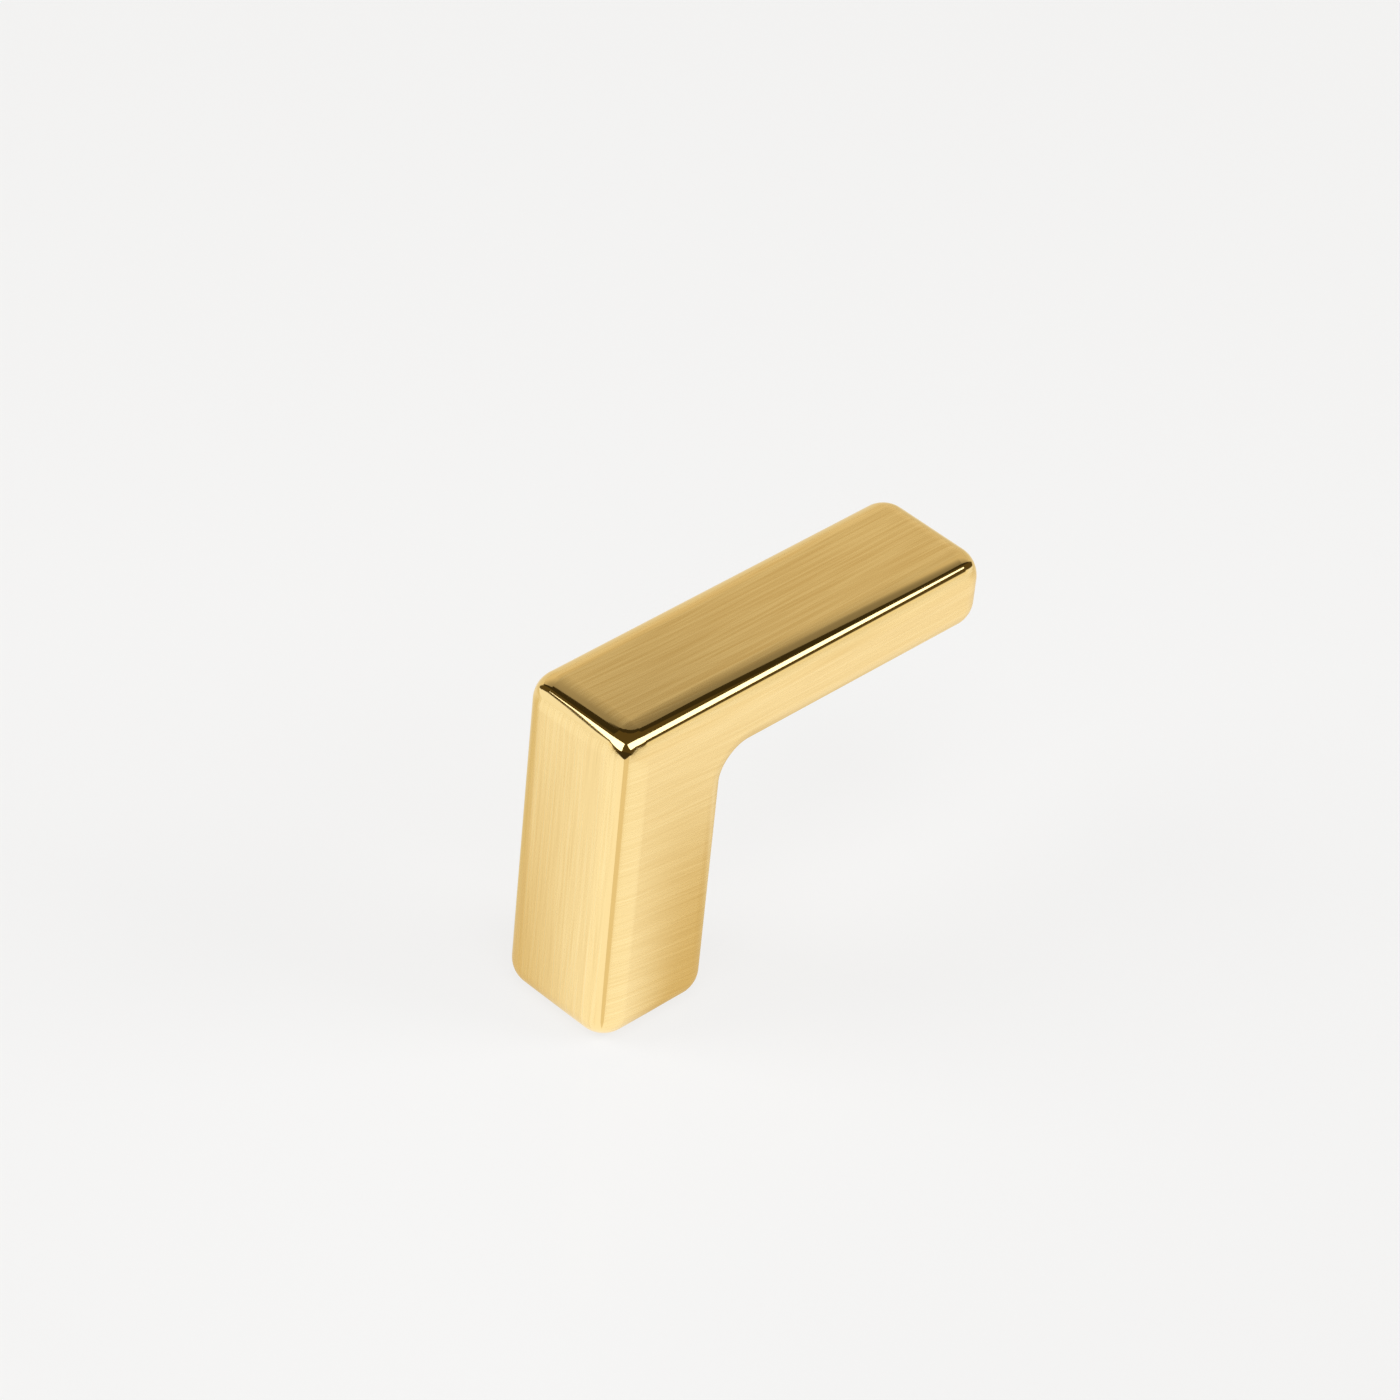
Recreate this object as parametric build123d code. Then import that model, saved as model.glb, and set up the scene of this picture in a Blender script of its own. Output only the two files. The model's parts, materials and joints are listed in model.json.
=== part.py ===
"""L-shaped furniture handle: a square post that stands on a cabinet front and carries a thinner arm."""
import math
import os

from build123d import *

# Driving dimensions, in millimetres and degrees.
# The origin is the middle of the post's mounting face. +Z leads away from the cabinet front,
# +X along the arm and Y across the handle, which is the same on both sides of Y = 0.
handle_width = 12.0
post_depth = 12.0
projection = 31.0
overall_length = 40.0
arm_thickness = 7.2
edge_radius = 2.5
inside_radius = 2.0

# The screw hole in the mounting face, tapped for a machine screw from behind the cabinet front.
thread_diameter = 4.0
thread_pitch = 0.7
tapped_depth = 10.0
tap_run_out = 2.0
drill_point_angle = 118.0
mouth_angle = 90.0
mouth_margin = 0.3

# Two rounded edges that face each other across the bar keep a narrow flat between them.
widest_round_share = 0.48


def side_outline():
    """The L seen from the side: the post up from the mounting face, then the arm out along +X."""
    post_outer = -post_depth / 2
    post_inner = post_depth / 2
    arm_tip = post_outer + overall_length
    arm_underside = projection - arm_thickness
    with BuildSketch(Plane.XZ) as outline:
        with BuildLine():
            Polyline(
                (post_outer, 0),
                (post_inner, 0),
                (post_inner, arm_underside),
                (arm_tip, arm_underside),
                (arm_tip, projection),
                (post_outer, projection),
                close=True,
            )
        make_face()
        inside_corner = outline.vertices().sort_by_distance((post_inner, arm_underside))[0]
        fillet(inside_corner, inside_radius)
    return outline.sketch


def rounded_bar():
    """The L bar with one radius on all its edges, which meet in a ball at each outer corner."""
    bar = extrude(side_outline(), amount=handle_width / 2, both=True)
    inside_curve = bar.faces().filter_by(GeomType.CYLINDER)[0]
    smooth_seams = inside_curve.edges().filter_by(Axis.Y)
    edges = [edge for edge in bar.edges() if edge not in smooth_seams]
    widest_round = widest_round_share * min(handle_width, post_depth, arm_thickness)
    return fillet(edges, min(edge_radius, widest_round))


def screw_hole():
    """What the drill and countersink take out of the post: the tapping hole, up from its mouth."""
    bore_radius = (thread_diameter - thread_pitch) / 2
    mouth_radius = thread_diameter / 2 + mouth_margin
    mouth_depth = (mouth_radius - bore_radius) / math.tan(math.radians(mouth_angle / 2))
    drilled_depth = tapped_depth + tap_run_out
    point_height = bore_radius / math.tan(math.radians(drill_point_angle / 2))
    with BuildSketch(Plane.XZ) as half_section:
        with BuildLine():
            Polyline(
                (0, 0),
                (mouth_radius, 0),
                (bore_radius, mouth_depth),
                (bore_radius, drilled_depth),
                (0, drilled_depth + point_height),
                close=True,
            )
        make_face()
    return revolve(half_section.sketch, axis=Axis.Z)


handle = rounded_bar() - screw_hole()

os.makedirs("parts", exist_ok=True)
export_step(handle, "parts/handle.step")
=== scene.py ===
"""Looks of the L-shaped furniture handle: a brushed brass bar with polished edges and a tapped hole."""
import json
import math

import bmesh
import bpy
from mathutils import Matrix, Vector


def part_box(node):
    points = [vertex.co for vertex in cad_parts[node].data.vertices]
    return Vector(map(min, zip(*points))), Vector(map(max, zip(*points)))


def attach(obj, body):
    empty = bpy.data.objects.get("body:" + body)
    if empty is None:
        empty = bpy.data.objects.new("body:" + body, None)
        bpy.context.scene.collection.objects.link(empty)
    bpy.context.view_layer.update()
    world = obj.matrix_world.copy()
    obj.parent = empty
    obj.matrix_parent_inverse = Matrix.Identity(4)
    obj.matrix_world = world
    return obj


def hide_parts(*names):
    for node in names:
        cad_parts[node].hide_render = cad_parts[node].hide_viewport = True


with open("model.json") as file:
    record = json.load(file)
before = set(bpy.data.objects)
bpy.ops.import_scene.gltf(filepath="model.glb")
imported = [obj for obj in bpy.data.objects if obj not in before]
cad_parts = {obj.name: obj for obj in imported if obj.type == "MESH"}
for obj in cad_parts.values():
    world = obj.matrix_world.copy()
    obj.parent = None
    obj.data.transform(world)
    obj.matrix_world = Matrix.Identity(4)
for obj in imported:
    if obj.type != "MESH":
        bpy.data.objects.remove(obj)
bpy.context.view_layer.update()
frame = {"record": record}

MM = 0.001

# The bar, in metres. Its reach and width are those of the solid.
bar_low, bar_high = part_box("handle")
post_depth = 12.0 * MM
arm_thickness = 7.2 * MM
edge_radius = 2.5 * MM
inside_radius = 2.0 * MM
edge_steps = 24
inside_steps = 16

# The tapped hole in the mounting face, from its mouth up.
mounts = {mount["name"]: mount for mount in frame["record"]["mounts"]}
screw_hole = mounts["screw_hole"]
bore_radius = screw_hole["dims"]["r_mm"] * MM
bore_start = screw_hole["pos_m"][2]
bore_end = bore_start + screw_hole["dims"]["length_mm"] * MM
mouth_radius = bore_radius + bore_start
thread_radius = 2.0 * MM
thread_pitch = 0.7 * MM
thread_end = 10.0 * MM
thread_row = 0.05 * MM
drill_point_angle = math.radians(118.0)
hole_sides = 64

# The camera stands where the photograph was taken from.
camera_azimuth = math.radians(-47.672)
camera_elevation = math.radians(37.979)
camera_roll = math.radians(5.906)
camera_aim = Vector((13.4601, 4.9971, 19.2989)) * MM
camera_distance = 464.98 * MM
camera_lens = 150.04
sensor_width = 36.0

# Brass, as linear colour.
brass = (0.94, 0.72, 0.34)
pale_brass = (1.0, 0.79, 0.395)
deep_brass = (0.87, 0.645, 0.285)

# The finish of the brushed faces and of the edges.
satin_roughness = (0.26, 0.28)
polished_roughness = 0.05
stroke_height = 0.01 * MM
stroke_relief = 0.15


def edit(piece):
    """Makes a piece the only selected object and opens its mesh."""
    bpy.ops.object.select_all(action="DESELECT")
    piece.select_set(True)
    bpy.context.view_layer.objects.active = piece
    bpy.ops.object.mode_set(mode="EDIT")


def select_parts(piece, kind, wanted):
    """Selects only the faces or edges of the open mesh that are wanted."""
    bpy.ops.mesh.select_mode(type=kind)
    bpy.ops.mesh.select_all(action="DESELECT")
    mesh = bmesh.from_edit_mesh(piece.data)
    mesh.normal_update()
    parts = mesh.faces if kind == "FACE" else mesh.edges
    for part in parts:
        if wanted(part):
            part.select_set(True)
    mesh.select_flush_mode()
    bmesh.update_edit_mesh(piece.data)


def near(a, b):
    """Whether two lengths are the same, but for rounding."""
    return abs(a - b) < 0.01 * MM


def rough_out_bar():
    """The square post as a block, with the arm drawn out of the upper end of its inner face."""
    post_inner = bar_low.x + post_depth
    arm_underside = bar_high.z - arm_thickness
    bpy.ops.object.select_all(action="DESELECT")
    bpy.ops.mesh.primitive_cube_add(
        size=1.0,
        location=(bar_low.x + post_depth / 2, 0.0, bar_high.z / 2),
        scale=(post_depth, bar_high.y - bar_low.y, bar_high.z),
    )
    bar = bpy.context.object
    bar.name = "brass_handle"
    bpy.ops.object.transform_apply(location=True, rotation=True, scale=True)
    edit(bar)
    bpy.ops.mesh.select_all(action="SELECT")
    bpy.ops.mesh.bisect(plane_co=(0.0, 0.0, arm_underside), plane_no=(0.0, 0.0, 1.0))
    select_parts(
        bar,
        "FACE",
        lambda face: face.normal.x > 0.9 and face.calc_center_median().z > arm_underside,
    )
    bpy.ops.mesh.extrude_region_move(
        TRANSFORM_OT_translate={"value": (bar_high.x - post_inner, 0.0, 0.0)}
    )
    bpy.ops.mesh.select_all(action="SELECT")
    bpy.ops.mesh.dissolve_limited(angle_limit=math.radians(1.0))
    select_parts(
        bar,
        "EDGE",
        lambda edge: all(near(v.co.x, post_inner) and near(v.co.z, arm_underside) for v in edge.verts),
    )
    bpy.ops.mesh.bevel(
        offset_type="OFFSET", offset=inside_radius, segments=inside_steps, profile=0.5, affect="EDGES"
    )
    return bar


def round_edges(bar):
    """One radius on every edge, which meet in a ball at each outer corner."""
    sharp = math.radians(60.0)
    select_parts(bar, "EDGE", lambda edge: edge.calc_face_angle(0.0) > sharp)
    bpy.ops.mesh.bevel(
        offset_type="OFFSET", offset=edge_radius, segments=edge_steps, profile=0.5, affect="EDGES"
    )


def raise_ring(height, from_height, grow=1.0):
    """Draws the selected ring of edges up the hole, and widens or narrows it there."""
    bpy.ops.mesh.extrude_region_move(
        TRANSFORM_OT_translate={"value": (0.0, 0.0, height - from_height)}
    )
    if grow != 1.0:
        bpy.ops.transform.resize(value=(grow, grow, 1.0), center_override=(0.0, 0.0, height))


def drill_hole(bar):
    """The mouth, the bore in fine rows up to the end of its thread, and the drill's point."""
    flat_down = -0.9999
    select_parts(
        bar,
        "FACE",
        lambda face: face.normal.z < flat_down and near(face.calc_center_median().z, 0.0),
    )
    bpy.ops.mesh.delete(type="ONLY_FACE")
    bpy.ops.mesh.primitive_circle_add(vertices=hole_sides, radius=mouth_radius, fill_type="NOTHING")
    select_parts(bar, "EDGE", lambda edge: len(edge.link_faces) < 2)
    bpy.ops.mesh.fill(use_beauty=True)
    select_parts(
        bar,
        "EDGE",
        lambda edge: all(near(v.co.xy.length, mouth_radius) and near(v.co.z, 0.0) for v in edge.verts),
    )
    raise_ring(bore_start, 0.0, bore_radius / mouth_radius)
    rows = round((thread_end - bore_start) / thread_row)
    heights = [bore_start + (thread_end - bore_start) * k / rows for k in range(rows + 1)] + [bore_end]
    for lower, upper in zip(heights[:-1], heights[1:]):
        raise_ring(upper, lower)
    raise_ring(bore_end + bore_radius / math.tan(drill_point_angle / 2), bore_end)
    bpy.ops.mesh.merge(type="CENTER")
    bpy.ops.mesh.select_all(action="SELECT")
    bpy.ops.mesh.normals_make_consistent(inside=False)


def cut_thread(bar):
    """Moves the bore's wall out into a groove that climbs one pitch a turn and runs out at its ends."""
    crest_share = 0.25
    flank_share = 0.577
    mesh = bmesh.from_edit_mesh(bar.data)
    for vert in mesh.verts:
        inside = near(vert.co.xy.length, bore_radius) and bore_start < vert.co.z < thread_end
        if not inside:
            continue
        turn = math.atan2(vert.co.y, vert.co.x) / math.tau
        phase = (vert.co.z / thread_pitch - turn) % 1.0
        groove = min(max((1.0 - abs(2.0 * phase - 1.0) - crest_share) / flank_share, 0.0), 1.0)
        to_end = min(vert.co.z - bore_start, thread_end - vert.co.z)
        run_out = min(to_end / thread_pitch, 1.0)
        grow = (bore_radius + (thread_radius - bore_radius) * groove * run_out) / bore_radius
        vert.co.x *= grow
        vert.co.y *= grow
    bmesh.update_edit_mesh(bar.data)


def smooth(bar):
    """Smooth shading that keeps the flats flat right up to the round edges."""
    bpy.ops.object.mode_set(mode="OBJECT")
    bpy.ops.object.shade_smooth_by_angle(angle=math.radians(30.0))
    weights = bar.modifiers.new("flat_faces", "WEIGHTED_NORMAL")
    weights.mode = "FACE_AREA"
    weights.keep_sharp = True
    bpy.ops.object.modifier_apply(modifier=weights.name)


class Nodes:
    """A node tree under construction: each call adds one node and links its inputs."""

    def __init__(self, tree):
        self.tree = tree
        tree.nodes.clear()

    def add(self, kind, inputs=None, **settings):
        """Adds a node. An input is a socket to link or a value to set."""
        node = self.tree.nodes.new(kind)
        for name, value in settings.items():
            setattr(node, name, value)
        for name, value in (inputs or {}).items():
            if isinstance(value, bpy.types.NodeSocket):
                self.tree.links.new(value, node.inputs[name])
            else:
                node.inputs[name].default_value = value
        return node

    def math(self, operation, a, b=0.0, c=0.0, clamp=False):
        """Works out one sum."""
        node = self.add("ShaderNodeMath", {0: a, 1: b, 2: c}, operation=operation, use_clamp=clamp)
        return node.outputs[0]

    def between(self, value, low, high, to_low=0.0, to_high=1.0, ease="SMOOTHSTEP"):
        """Carries a value from one range to another and holds it at the ends."""
        node = self.add(
            "ShaderNodeMapRange",
            {"Value": value, "From Min": low, "From Max": high, "To Min": to_low, "To Max": to_high},
            interpolation_type=ease,
        )
        return node.outputs["Result"]

    def dot(self, vector, direction):
        """Measures how far a vector goes in a direction."""
        node = self.add("ShaderNodeVectorMath", {0: vector, 1: direction}, operation="DOT_PRODUCT")
        return node.outputs["Value"]

    def mix(self, share, a, b):
        """Mixes two colours."""
        node = self.add("ShaderNodeMix", {0: share, 6: a, 7: b}, data_type="RGBA")
        return node.outputs[2]


def opaque(colour):
    """A colour as a socket takes it."""
    return (*colour, 1.0)


def brushed_brass():
    """Satin faces with fine strokes along the bar and up its ends, and bright polished edges."""
    material = bpy.data.materials.new("brushed_brass")
    material.use_nodes = True
    n = Nodes(material.node_tree)
    place = n.add("ShaderNodeTexCoord")
    point = n.add("ShaderNodeSeparateXYZ", {0: place.outputs["Object"]}).outputs
    facing = n.add("ShaderNodeVectorMath", {0: place.outputs["Normal"]}, operation="ABSOLUTE")
    facing = n.add("ShaderNodeSeparateXYZ", {0: facing.outputs[0]}).outputs

    # Strokes run along the arm, bend a little on the post's top and slope more and more down its sides.
    bend = n.math("MAXIMUM", n.math("SUBTRACT", 11.0 * MM, point["X"]), 0.0)
    bend = n.math("MULTIPLY", n.math("MULTIPLY", bend, bend), 2.5)
    slope = n.between(point["Z"], 11.0 * MM, 29.0 * MM, 0.165, 0.05, ease="LINEAR")
    on_post = n.math("MINIMUM", n.math("SUBTRACT", point["X"], 7.0 * MM), 0.0)
    across_top = n.math("SUBTRACT", point["Y"], bend)
    across_side = n.math("MULTIPLY_ADD", slope, on_post, point["Z"])
    on_round = n.math("MULTIPLY", n.math("ARCSINE", facing["X"]), edge_radius)
    across_side = n.math("MULTIPLY_ADD", n.math("MULTIPLY", on_round, on_round), 0.15 / MM, across_side)
    is_side = n.math("GREATER_THAN", facing["Y"], facing["Z"])
    across = n.add("ShaderNodeMix", {0: is_side, 2: across_top, 3: across_side}).outputs[0]
    long_face = n.add("ShaderNodeCombineXYZ", {"X": point["X"], "Y": across}).outputs[0]
    end_face = n.add("ShaderNodeCombineXYZ", {"X": point["Z"], "Y": point["Y"]}).outputs[0]
    is_end = n.math("GREATER_THAN", facing["X"], 0.707)
    stroke = n.add("ShaderNodeMix", {0: is_end, 4: long_face, 5: end_face}, data_type="VECTOR").outputs[1]

    def strokes(length, gap, slant, shift):
        """Noise that is drawn out along the strokes."""
        spread = n.add(
            "ShaderNodeMapping",
            {
                "Vector": stroke,
                "Location": (shift, shift, 0.0),
                "Rotation": (0.0, 0.0, math.radians(slant)),
                "Scale": (length, gap, 1.0),
            },
            vector_type="TEXTURE",
        )
        noise = n.add(
            "ShaderNodeTexNoise",
            {"Vector": spread.outputs[0], "Scale": 1.0, "Detail": 1.0, "Roughness": 0.5},
            noise_dimensions="2D",
        )
        return noise.outputs[0]

    # Hairlines in three sets that cross at a slight slant, over broad faint bands.
    first_pass = strokes(length=13.0 * MM, gap=0.2 * MM, slant=0.0, shift=0.0)
    second_pass = strokes(length=9.0 * MM, gap=0.32 * MM, slant=1.0, shift=40.0 * MM)
    third_pass = strokes(length=8.0 * MM, gap=0.15 * MM, slant=-1.0, shift=80.0 * MM)
    bands = strokes(length=14.0 * MM, gap=1.2 * MM, slant=0.0, shift=120.0 * MM)
    grain = n.math("ADD", n.math("MULTIPLY", first_pass, 0.35), n.math("MULTIPLY", second_pass, 0.35))
    grain = n.math("ADD", grain, n.math("MULTIPLY", third_pass, 0.2))
    grain = n.math("ADD", grain, n.math("MULTIPLY", bands, 0.1))

    # Satin on the flats and over the start of the rounds. The rest of the rounds is buffed bright.
    satin_end = n.between(facing["X"], math.cos(math.radians(36.0)), math.cos(math.radians(27.0)))
    satin_end = n.math("MULTIPLY", satin_end, n.between(facing["Z"], 0.4, 0.5, 1.0, 0.0))
    satin_side = n.between(facing["Y"], math.cos(math.radians(44.0)), math.cos(math.radians(39.0)))
    satin_side = n.math("MULTIPLY", satin_side, n.between(facing["Z"], 0.5, 0.6, 1.0, 0.0))
    satin_level = n.between(facing["Z"], math.cos(math.radians(26.0)), math.cos(math.radians(12.0)))
    satin = n.math("MAXIMUM", n.math("MAXIMUM", satin_end, satin_side), satin_level)
    contrast = n.between(facing["Z"], 0.6, 0.8, 2.2, 4.5)
    shade = n.math("MULTIPLY_ADD", n.math("SUBTRACT", grain, 0.5), contrast, 0.5, clamp=True)
    colour = n.mix(shade, opaque(deep_brass), opaque(pale_brass))
    colour = n.mix(satin, opaque(brass), colour)
    roughness = n.between(grain, 0.36, 0.64, *satin_roughness, ease="LINEAR")
    roughness = n.add("ShaderNodeMix", {0: satin, 2: polished_roughness, 3: roughness}).outputs[0]
    height = n.math("MULTIPLY", grain, satin)
    relief = n.add(
        "ShaderNodeBump",
        {"Strength": stroke_relief, "Distance": stroke_height, "Height": height},
    )
    surface = n.add(
        "ShaderNodeBsdfPrincipled",
        {
            "Base Color": colour,
            "Metallic": 1.0,
            "Roughness": roughness,
            "Normal": relief.outputs[0],
        },
    )
    n.add("ShaderNodeOutputMaterial", {"Surface": surface.outputs[0]})
    return material


def make_handle():
    """The whole handle in its material, in place of the solid."""
    bar = rough_out_bar()
    round_edges(bar)
    drill_hole(bar)
    cut_thread(bar)
    smooth(bar)
    bar.data.materials.append(brushed_brass())
    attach(bar, "root")
    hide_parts("handle")


# The studio: a pale floor, two lamp panels, a white wall, a dark gap, an overhead card and three lamps.
floor_reach = 2.0
floor_behind = 0.18
floor_white = 0.9
backdrop_white = 0.905

# The floor's even glow for the camera and in the metal, and how much of the floor it makes up.
floor_glow = 0.8775
shadow_share = 0.14
mirrored_glow = 1.165
mirrored_share = 0.85

# Level directions: away from the camera, to its right, and to the dark gap that it looks through.
away = Vector((-math.sin(camera_azimuth), math.cos(camera_azimuth), 0.0))
aside = Vector((math.cos(camera_azimuth), math.sin(camera_azimuth), 0.0))
opening = Matrix.Rotation(math.radians(-8.0), 3, "Z") @ -away


def emission(name, colour, strength):
    """A material that glows evenly."""
    material = bpy.data.materials.new(name)
    material.use_nodes = True
    n = Nodes(material.node_tree)
    glow = n.add("ShaderNodeEmission", {"Color": opaque(colour), "Strength": strength})
    n.add("ShaderNodeOutputMaterial", {"Surface": glow.outputs[0]})
    return material


def tone(red, green, blue):
    """A share of the floor's white."""
    return (floor_white * red, floor_white * green, floor_white * blue)


def lay_floor():
    """A pale floor that ends a little way behind the handle, with painted shade that only the metal sees.
    """
    bpy.ops.mesh.primitive_plane_add(size=1.0)
    floor = bpy.context.object
    floor.name = "floor"
    sink = Vector((0.0, 0.0, -0.02 * MM))
    corners = [
        aside * -floor_reach - away * floor_reach,
        aside * floor_reach - away * floor_reach,
        aside * -floor_reach + away * floor_behind,
        aside * floor_reach + away * floor_behind,
    ]
    for vert, corner in zip(floor.data.vertices, corners):
        vert.co = corner + sink
    material = bpy.data.materials.new("pale_floor")
    material.use_nodes = True
    n = Nodes(material.node_tree)
    rays = n.add("ShaderNodeLightPath").outputs
    seen, mirrored = rays["Is Camera Ray"], rays["Is Glossy Ray"]
    place = n.add("ShaderNodeTexCoord").outputs["Object"]
    forward = n.dot(place, -away)
    to_right = n.dot(place, aside)
    to_left = n.math("MULTIPLY", to_right, -1.0)
    white = opaque(tone(1.0, 1.0, 1.0))

    # The shade beside the foot, warm with light off the brass. It is for the metal and not for the camera.
    right_reach = n.math("SUBTRACT", n.math("MULTIPLY_ADD", to_right, -0.09, 7.2 * MM), forward)
    right_shade = n.between(right_reach, 0.0, 3.7 * MM, 0.0, 1.0, ease="LINEAR")
    right_shade = n.math("MULTIPLY", right_shade, n.between(to_right, 20.0 * MM, 43.0 * MM, 1.0, 0.0))
    right_shade = n.math("MULTIPLY", right_shade, n.between(to_right, -4.0 * MM, 4.0 * MM))
    left_reach = n.math("SUBTRACT", 7.5 * MM, forward)
    left_shade = n.between(left_reach, 0.0, 5.5 * MM, 0.0, 0.86, ease="LINEAR")
    left_shade = n.math("MULTIPLY", left_shade, n.between(to_left, 15.0 * MM, 65.0 * MM, 1.0, 0.0))
    left_shade = n.math("MULTIPLY", left_shade, n.between(to_left, -4.0 * MM, 4.0 * MM))
    shade = n.math("MAXIMUM", right_shade, left_shade)
    shade = n.math("MULTIPLY", shade, n.between(forward, -16.0 * MM, -8.0 * MM))
    # Painted warm shade on the floor far to the right, seen only in the metal.
    far_right_shade = n.between(to_right, 25.0 * MM, 55.0 * MM)
    colour = n.mix(far_right_shade, white, opaque(tone(0.965, 0.93, 0.88)))
    colour = n.mix(shade, colour, opaque(tone(0.69, 0.575, 0.36)))

    # A narrow painted warm shade that runs from the near corner of the foot towards the camera, seen only
    # in the metal.
    out = n.math("SUBTRACT", forward, 7.4 * MM)
    streak_middle = n.math("MULTIPLY_ADD", out, 0.038, 0.35 * MM)
    off_middle = n.math("ABSOLUTE", n.math("SUBTRACT", to_right, streak_middle))
    streak_shade = n.between(n.math("SUBTRACT", n.math("MULTIPLY", out, 0.158), off_middle), 0.0, 0.1 * MM)
    colour = n.mix(streak_shade, colour, opaque(tone(0.80, 0.72, 0.56)))

    # Painted warm shade, standing for shadow and light off the handle's underside, lies on the floor
    # behind the post and fades towards the back.
    under_arm_shade = n.between(n.math("ADD", to_right, forward), -6.0 * MM, 24.0 * MM, 1.0, 0.0)
    under_arm_shade = n.math("MULTIPLY", under_arm_shade, n.between(forward, -9.0 * MM, -2.0 * MM, 1.0, 0.0))
    under_arm_shade = n.math("MULTIPLY", under_arm_shade, n.between(forward, -60.0 * MM, -15.0 * MM, 0.35, 1.0))
    colour = n.mix(under_arm_shade, colour, opaque(tone(0.73, 0.63, 0.40)))
    # Further back the floor gets a darker painted beige shade, seen only in the metal.
    far_back_shade = n.between(forward, -90.0 * MM, -30.0 * MM, 0.85, 0.0)
    colour = n.mix(far_back_shade, colour, opaque(tone(0.77, 0.685, 0.50)))

    # The camera sees a white floor and the metal one with painted shade. Both get most of it as an even
    # glow.
    lit_colour = n.mix(seen, colour, white)
    lit = n.add("ShaderNodeBsdfPrincipled", {"Base Color": lit_colour, "Roughness": 0.15})
    glow_colour = n.mix(seen, colour, opaque((floor_glow,) * 3))
    strength = n.add("ShaderNodeMix", {0: seen, 2: mirrored_glow, 3: 1.0}).outputs[0]
    even = n.add("ShaderNodeEmission", {"Color": glow_colour, "Strength": strength})
    share = n.math("MULTIPLY", seen, 1.0 - shadow_share)
    share = n.math("MULTIPLY_ADD", mirrored, mirrored_share, share)
    mixed = n.add("ShaderNodeMixShader", {0: share, 1: lit.outputs[0], 2: even.outputs[0]})
    n.add("ShaderNodeOutputMaterial", {"Surface": mixed.outputs[0]})
    floor.data.materials.append(material)


def hang_card(name, corners, material, lights_floor=False):
    """A flat card that shows in the metal and stays out of the picture."""
    bpy.ops.mesh.primitive_circle_add(vertices=len(corners), fill_type="NGON")
    card = bpy.context.object
    card.name = name
    for vert, corner in zip(card.data.vertices, corners):
        vert.co = Vector(corner) * MM
    card.data.materials.append(material)
    card.visible_camera = False
    card.visible_shadow = False
    card.visible_diffuse = lights_floor


def hang_lamp(name, azimuth, elevation, energy):
    """A wide soft lamp, aimed at the handle's foot, that lights the floor and stays out of the metal."""
    distance = 1.5
    width = 0.9
    turn = math.radians(azimuth)
    rise = math.radians(elevation)
    towards = Vector((math.cos(turn) * math.cos(rise), math.sin(turn) * math.cos(rise), math.sin(rise)))
    bpy.ops.object.light_add(
        type="AREA", location=towards * distance, rotation=towards.to_track_quat("Z", "Y").to_euler()
    )
    lamp = bpy.context.object
    lamp.name = name
    lamp.data.shape = "DISK"
    lamp.data.size = width
    lamp.data.energy = energy
    lamp.visible_glossy = False
    lamp.visible_camera = False


def light_studio():
    """A lamp panel beside each near face, a white wall past the left one, and the floor's lamps."""
    glow = emission("lamp_panel", (1.0, 1.0, 1.0), 2.4)
    right_outline = [
        (-86.0, 95.0),
        (-77.0, 72.0),
        (-63.5, 49.5),
        (-55.0, 36.0),
        (-20.0, 46.5),
        (50.0, 48.0),
        (62.0, 51.0),
        (98.0, 56.0),
        (118.0, 67.0),
        (97.0, 84.5),
        (80.0, 87.0),
        (20.0, 92.0),
    ]
    left_outline = [
        (-35.0, 55.0),
        (-34.5, 47.0),
        (-31.0, 31.0),
        (-29.5, 15.5),
        (-22.0, 15.5),
        (15.7, 23.5),
        (35.0, 27.0),
        (39.9, 35.3),
        (45.0, 43.5),
        (49.6, 47.0),
        (52.0, 49.0),
        (45.0, 50.7),
    ]
    wall_outline = [
        (27.5, 12.5),
        (35.6, 22.0),
        (43.5, 34.3),
        (48.0, 39.0),
        (150.0, 21.0),
        (150.0, 0.0),
    ]

    # Each outline has places along the panel and heights over the middle of the rounded top edges.
    edge_middle = 28.5
    right = -80.0
    left = -60.0
    behind_left = left - 1.0
    right_corners = [(x, right, edge_middle + z) for x, z in right_outline]
    left_corners = [(left, y, edge_middle + z) for y, z in left_outline]
    hang_card("right_panel", right_corners, glow, lights_floor=True)
    hang_card("left_panel", left_corners, glow, lights_floor=True)
    hang_card(
        "left_wall",
        [(behind_left, y, edge_middle + z) for y, z in wall_outline],
        emission("white_wall", (1.0, 1.0, 1.0), 1.0),
    )
    hang_lamp("left_lamp", 142.0, 38.0, 14.6)
    hang_lamp("right_lamp", -47.0, 30.0, 15.2)
    hang_lamp("front_lamp", -135.0, 65.0, 8.8)


def dark_opening():
    """The gap in front that the camera looks through, narrow at the floor and wider above."""
    outline = [
        (0.0, 5.0),
        (5.0, 3.5),
        (10.0, 5.0),
        (36.5, 33.0),
        (50.0, 44.0),
        (0.0, 52.0),
        (-50.0, 44.0),
        (-36.0, 33.0),
    ]
    near_corner = Vector((-5.0, -5.0, 0.0))
    distance = 95.0
    middle = near_corner + opening * distance
    right = Vector((-opening.y, opening.x, 0.0))
    up = Vector((0.0, 0.0, 1.0))
    # A dark card with a faint glow stands in the metal for the shade of the gap.
    hang_card(
        "dark_opening",
        [middle + right * across + up * height for across, height in outline],
        emission("dark_gap_shade", (0.05, 0.036, 0.015), 1.0),
    )


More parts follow.
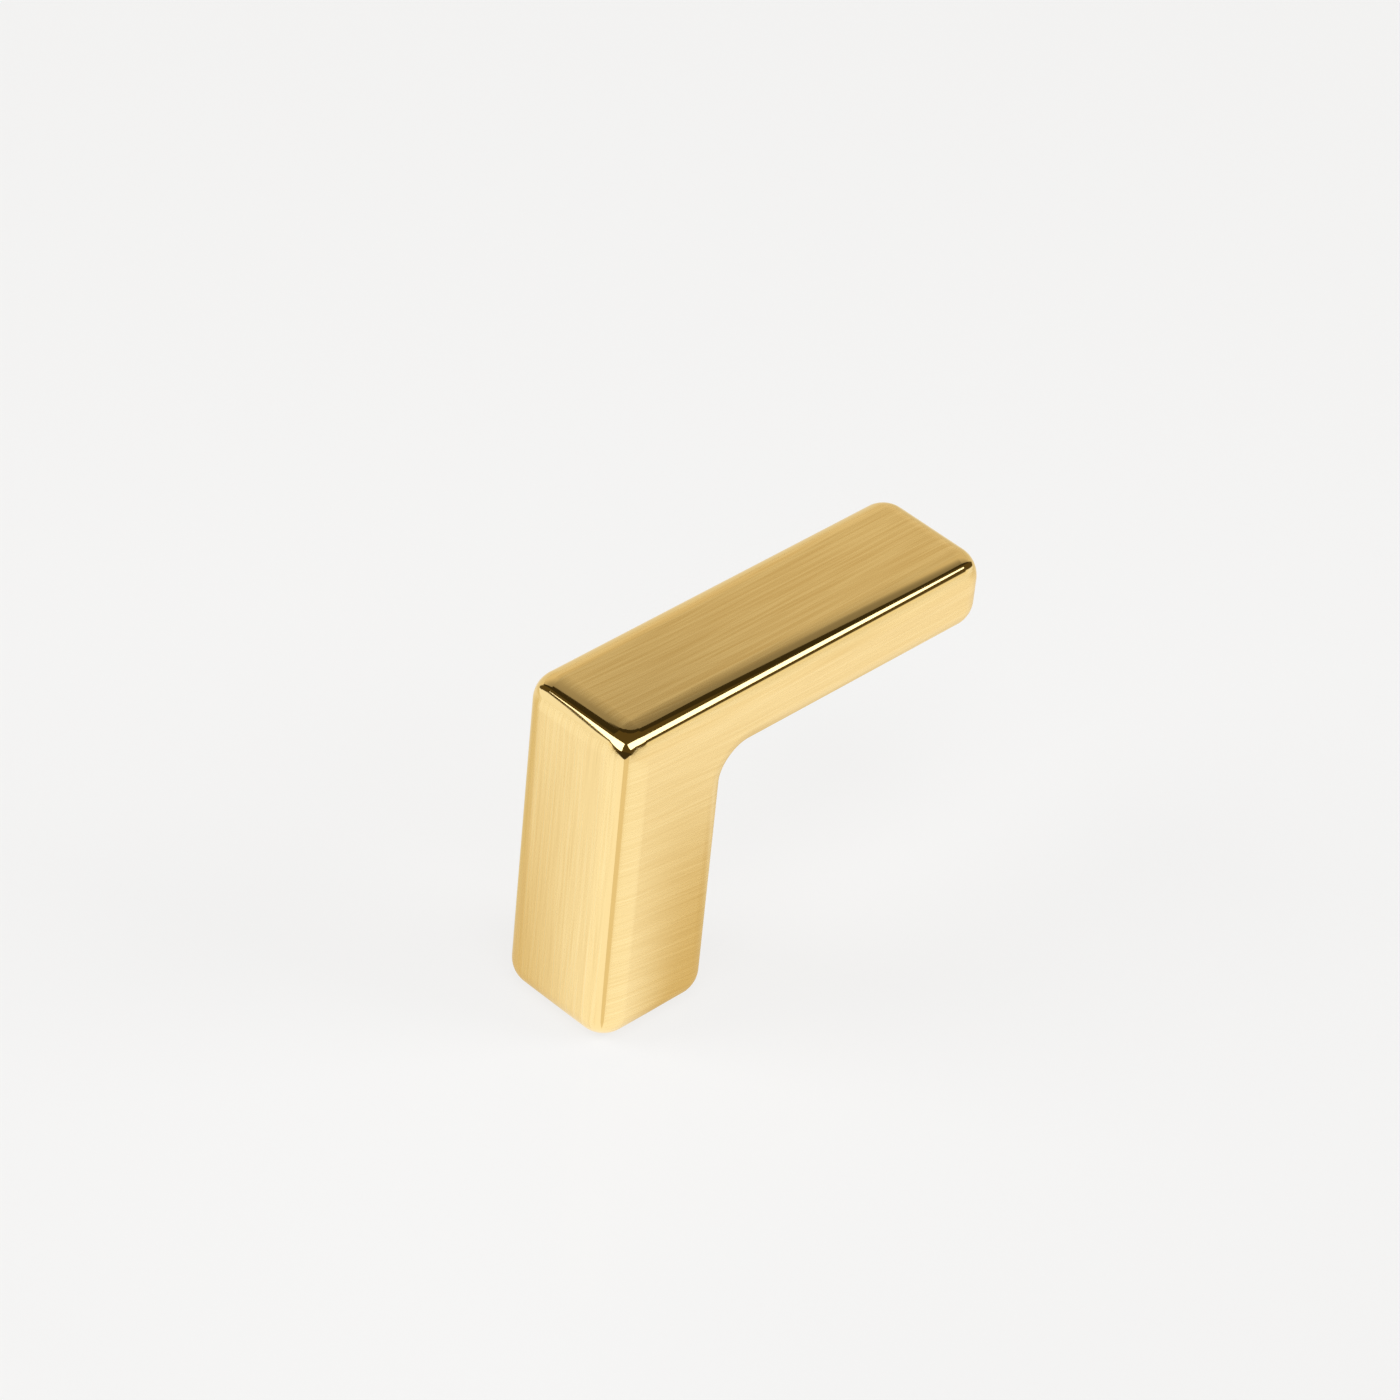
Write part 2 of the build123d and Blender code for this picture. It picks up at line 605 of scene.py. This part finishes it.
def overhead_card():
    """A warm card with a dark rim over the back of the handle, dimmest at its blunt point in front."""
    height = 101.0
    middle = 150.0
    rim_growth = 1.08
    warm_white = (1.16, 0.99, 0.70)
    outline = [
        (-13.0, 17.8),
        (-7.0, 10.0),
        (-3.5, 1.3),
        (5.8, -6.7),
        (14.0, -10.3),
        (23.0, -12.3),
        (44.0, -12.8),
        (48.0, -17.5),
        (55.0, -19.0),
        (66.5, -29.0),
        (80.0, -41.5),
        (87.0, -47.0),
        (94.0, -51.0),
        (400.0, -54.0),
        (400.0, 400.0),
        (-56.0, 400.0),
        (-50.5, 125.0),
        (-49.0, 64.0),
        (-45.0, 60.0),
        (-38.0, 54.0),
        (-32.5, 50.0),
        (-28.0, 45.0),
        (-15.0, 41.5),
        (-14.5, 28.8),
    ]
    material = bpy.data.materials.new("warm_card")
    material.use_nodes = True
    n = Nodes(material.node_tree)
    place = n.add("ShaderNodeTexCoord").outputs["Object"]
    point = n.add("ShaderNodeSeparateXYZ", {0: place}).outputs
    dim = n.math("MULTIPLY_ADD", n.dot(place, (0.395, 0.919, 0.0)), 0.0018 / MM, 0.21)
    dim = n.math("MINIMUM", dim, 0.5)
    off_front = n.math("MINIMUM", n.math("SUBTRACT", point["Y"], 8.0 * MM), 0.0)
    to_right = n.math("MULTIPLY_ADD", off_front, 0.6, point["X"])
    off_left = n.math("MAXIMUM", n.math("SUBTRACT", point["X"], 35.0 * MM), 0.0)
    to_back = n.math("MULTIPLY_ADD", off_left, -0.4, point["Y"])
    lit_right = n.between(to_right, 59.0 * MM, 76.0 * MM)
    lit_right = n.math("MULTIPLY", lit_right, n.between(point["Y"], -58.0 * MM, -14.0 * MM, ease="LINEAR"))
    lit_back = n.between(to_back, 42.5 * MM, 59.0 * MM)
    lit_back = n.math("MULTIPLY", lit_back, n.between(point["X"], -45.0 * MM, 20.0 * MM))
    lit = n.math("MAXIMUM", lit_right, lit_back)
    bright = n.between(point["Y"], 62.0 * MM, 115.0 * MM, 0.585, 0.665)
    strength = n.add("ShaderNodeMix", {0: lit, 2: dim, 3: bright}).outputs[0]
    glow = n.add("ShaderNodeEmission", {"Color": opaque(warm_white), "Strength": strength})
    n.add("ShaderNodeOutputMaterial", {"Surface": glow.outputs[0]})
    hang_card("overhead_card", [(x, y, height) for x, y in outline], material)
    rim = [(middle + (x - middle) * rim_growth, middle + (y - middle) * rim_growth) for x, y in outline]
    hang_card(
        "card_rim",
        [(x, y, height + 1.0) for x, y in rim],
        emission("dark_rim", (0.04, 0.029, 0.011), 1.0),
    )


def paint_world():
    """White low down, cream at the skyline, dark above it, warm behind, and pale for the camera."""
    white = opaque((1.0, 1.0, 1.0))
    cream = opaque((0.97, 0.9, 0.72))
    dark = opaque((0.095, 0.066, 0.021))
    warm_left = opaque((0.80, 0.715, 0.53))
    warm_right = opaque((0.71, 0.615, 0.42))
    world = bpy.data.worlds.new("studio")
    bpy.context.scene.world = world
    world.use_nodes = True
    n = Nodes(world.node_tree)
    direction = n.add("ShaderNodeTexCoord").outputs["Generated"]
    rise = n.add("ShaderNodeSeparateXYZ", {0: direction}).outputs["Z"]
    towards = n.dot(direction, opening)
    dip = n.math("MULTIPLY", n.math("MAXIMUM", n.math("SUBTRACT", towards, 0.57), 0.0), 0.68)
    dip = n.math("MULTIPLY_ADD", n.math("MAXIMUM", n.math("SUBTRACT", towards, 0.8), 0.0), 0.45, dip)
    skyline = n.math("SUBTRACT", n.math("MULTIPLY_ADD", n.dot(direction, aside), 0.016, 0.31), dip)
    above = n.math("SUBTRACT", rise, skyline)
    sweep = n.math("MINIMUM", n.dot(direction, (0.73, 0.169, 1.0)), n.dot(direction, (0.168, 0.704, 1.0)))
    high = n.between(n.math("MAXIMUM", above, sweep), -0.02, 0.02)
    back = n.math("MINIMUM", n.dot(direction, (1.0, 0.08, 0.53)), n.dot(direction, (0.0, 1.0, 0.66)))
    back = n.math("MULTIPLY", n.between(back, -0.03, 0.03), n.between(rise, 0.2, 0.25, 1.0, 0.0))
    behind_right = n.between(n.dot(direction, aside), -0.15, 0.2)
    warm = n.mix(behind_right, warm_left, warm_right)
    upper = n.mix(back, dark, warm)
    low = n.mix(n.between(above, -0.25, -0.02), white, cream)
    colour = n.mix(high, low, upper)
    seen = n.add("ShaderNodeLightPath").outputs["Is Camera Ray"]
    colour = n.mix(seen, colour, opaque((backdrop_white,) * 3))
    light = n.add("ShaderNodeBackground", {"Color": colour, "Strength": 1.0})
    n.add("ShaderNodeOutputWorld", {"Surface": light.outputs[0]})


def place_camera():
    """The camera at the photograph's place, turned by its roll."""
    back = Vector(
        (
            math.sin(camera_azimuth) * math.cos(camera_elevation),
            -math.cos(camera_azimuth) * math.cos(camera_elevation),
            math.sin(camera_elevation),
        )
    )
    up = back.cross(aside)
    turn = Matrix.Rotation(camera_roll, 3, back)
    right, up = turn @ aside, turn @ up
    data = bpy.data.cameras.new("camera")
    data.lens = camera_lens
    data.sensor_width = sensor_width
    data.clip_start = 0.01
    data.clip_end = 20.0
    camera = bpy.data.objects.new("camera", data)
    bpy.context.scene.collection.objects.link(camera)
    axes = Matrix((right, up, back)).transposed().to_4x4()
    camera.matrix_world = Matrix.Translation(camera_aim + back * camera_distance) @ axes
    bpy.context.scene.camera = camera


make_handle()
lay_floor()
light_studio()
dark_opening()
overhead_card()
paint_world()
place_camera()
bpy.context.scene.view_settings.view_transform = "Standard"
